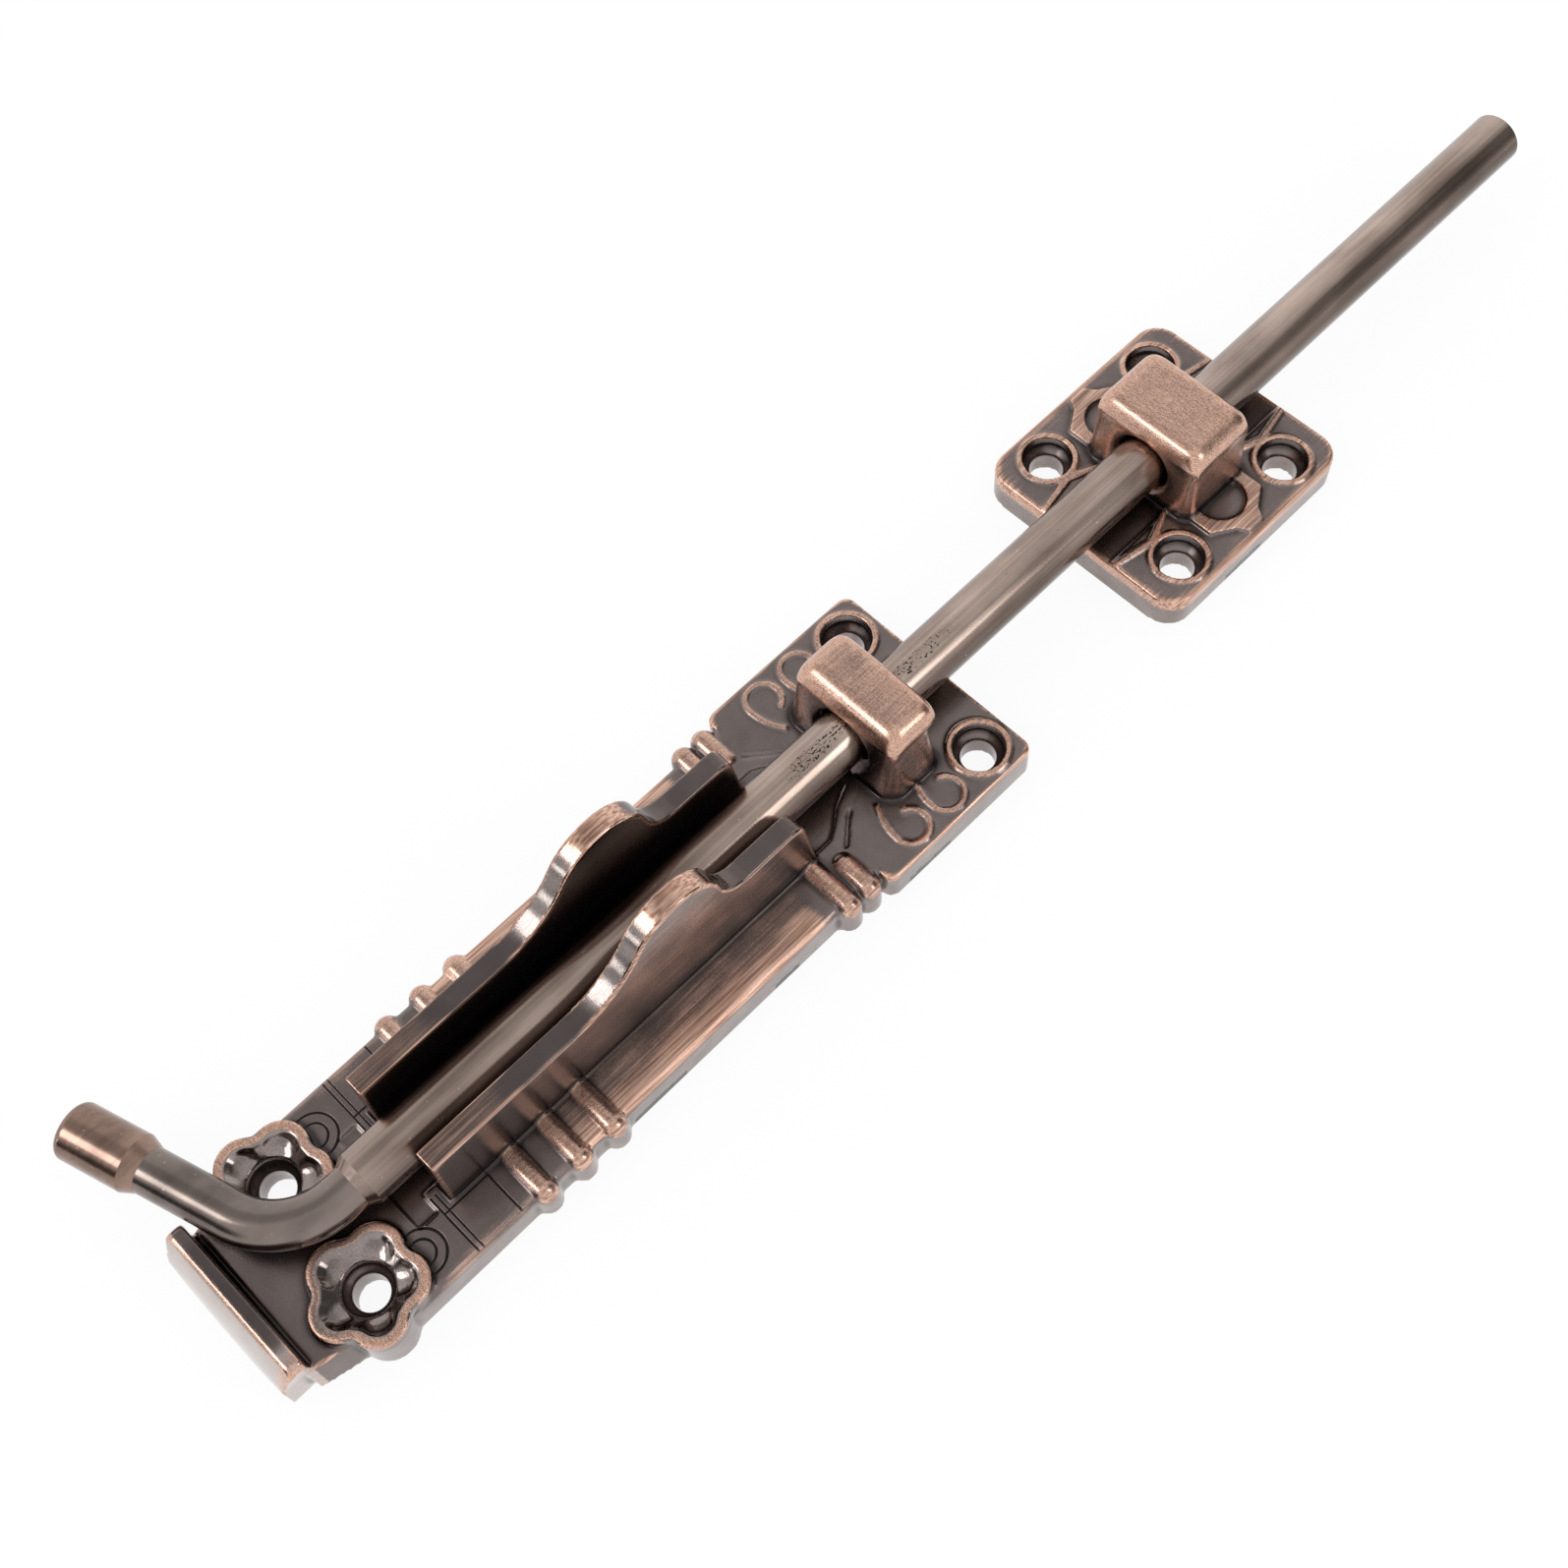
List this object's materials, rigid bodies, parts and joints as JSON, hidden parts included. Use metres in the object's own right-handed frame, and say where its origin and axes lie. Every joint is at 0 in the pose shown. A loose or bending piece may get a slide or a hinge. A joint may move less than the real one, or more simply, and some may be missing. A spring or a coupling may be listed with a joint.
{
  "type": "gate latch",
  "caption": "Surface-mounted sliding bolt latch for a gate: cast base with humped rails and star bosses, round bolt with a bent turning handle, and a cast keeper.",
  "frame": {"origin": "on the mounting plane, midway between the base's two front screw holes and under the bolt's axis", "axes": "+X along the bolt to its tip and the keeper, +Z away from the gate, +Y to the side on which the handle lies at rest"},
  "size_m": [0.3205, 0.063, 0.0356],
  "materials": {
    "base_copper": "cast metal, antique red copper plating, dark in the hollows and brushed to bright copper on the high points",
    "keeper_copper": "cast metal, antique red copper plating, dark in the hollows and brushed to bright copper on the high points",
    "rod_copper": "steel rod, antique red copper plating brushed along its length",
    "bar_copper": "steel bar, antique red copper plating brushed along its length",
    "knob_copper": "turned end, antique red copper plating, a warmer copper than the bar"
  },
  "bodies": {
    "base": {"base_casting": "base_copper"},
    "bolt": {"bolt_rod": "rod_copper"},
    "handle": {"handle_bar": "bar_copper", "handle_knob": "knob_copper"},
    "keeper": {"keeper_casting": "keeper_copper"}
  },
  "joints": [
    {"name": "bolt_slide", "type": "slide", "parent": "base", "child": "bolt", "axis": [1, 0, 0], "range_m": [0, 0.0185]},
    {"name": "bolt_turn", "type": "hinge", "parent": "bolt", "child": "handle", "pos_m": [-0.1232, 0, 0.0139], "axis": [1, 0, 0], "range_deg": [0, 180]},
    {"name": "keeper_slide", "type": "slide", "parent": "base", "child": "keeper", "axis": [1, 0, 0], "range_m": [-0.036, 0.15]}
  ]
}
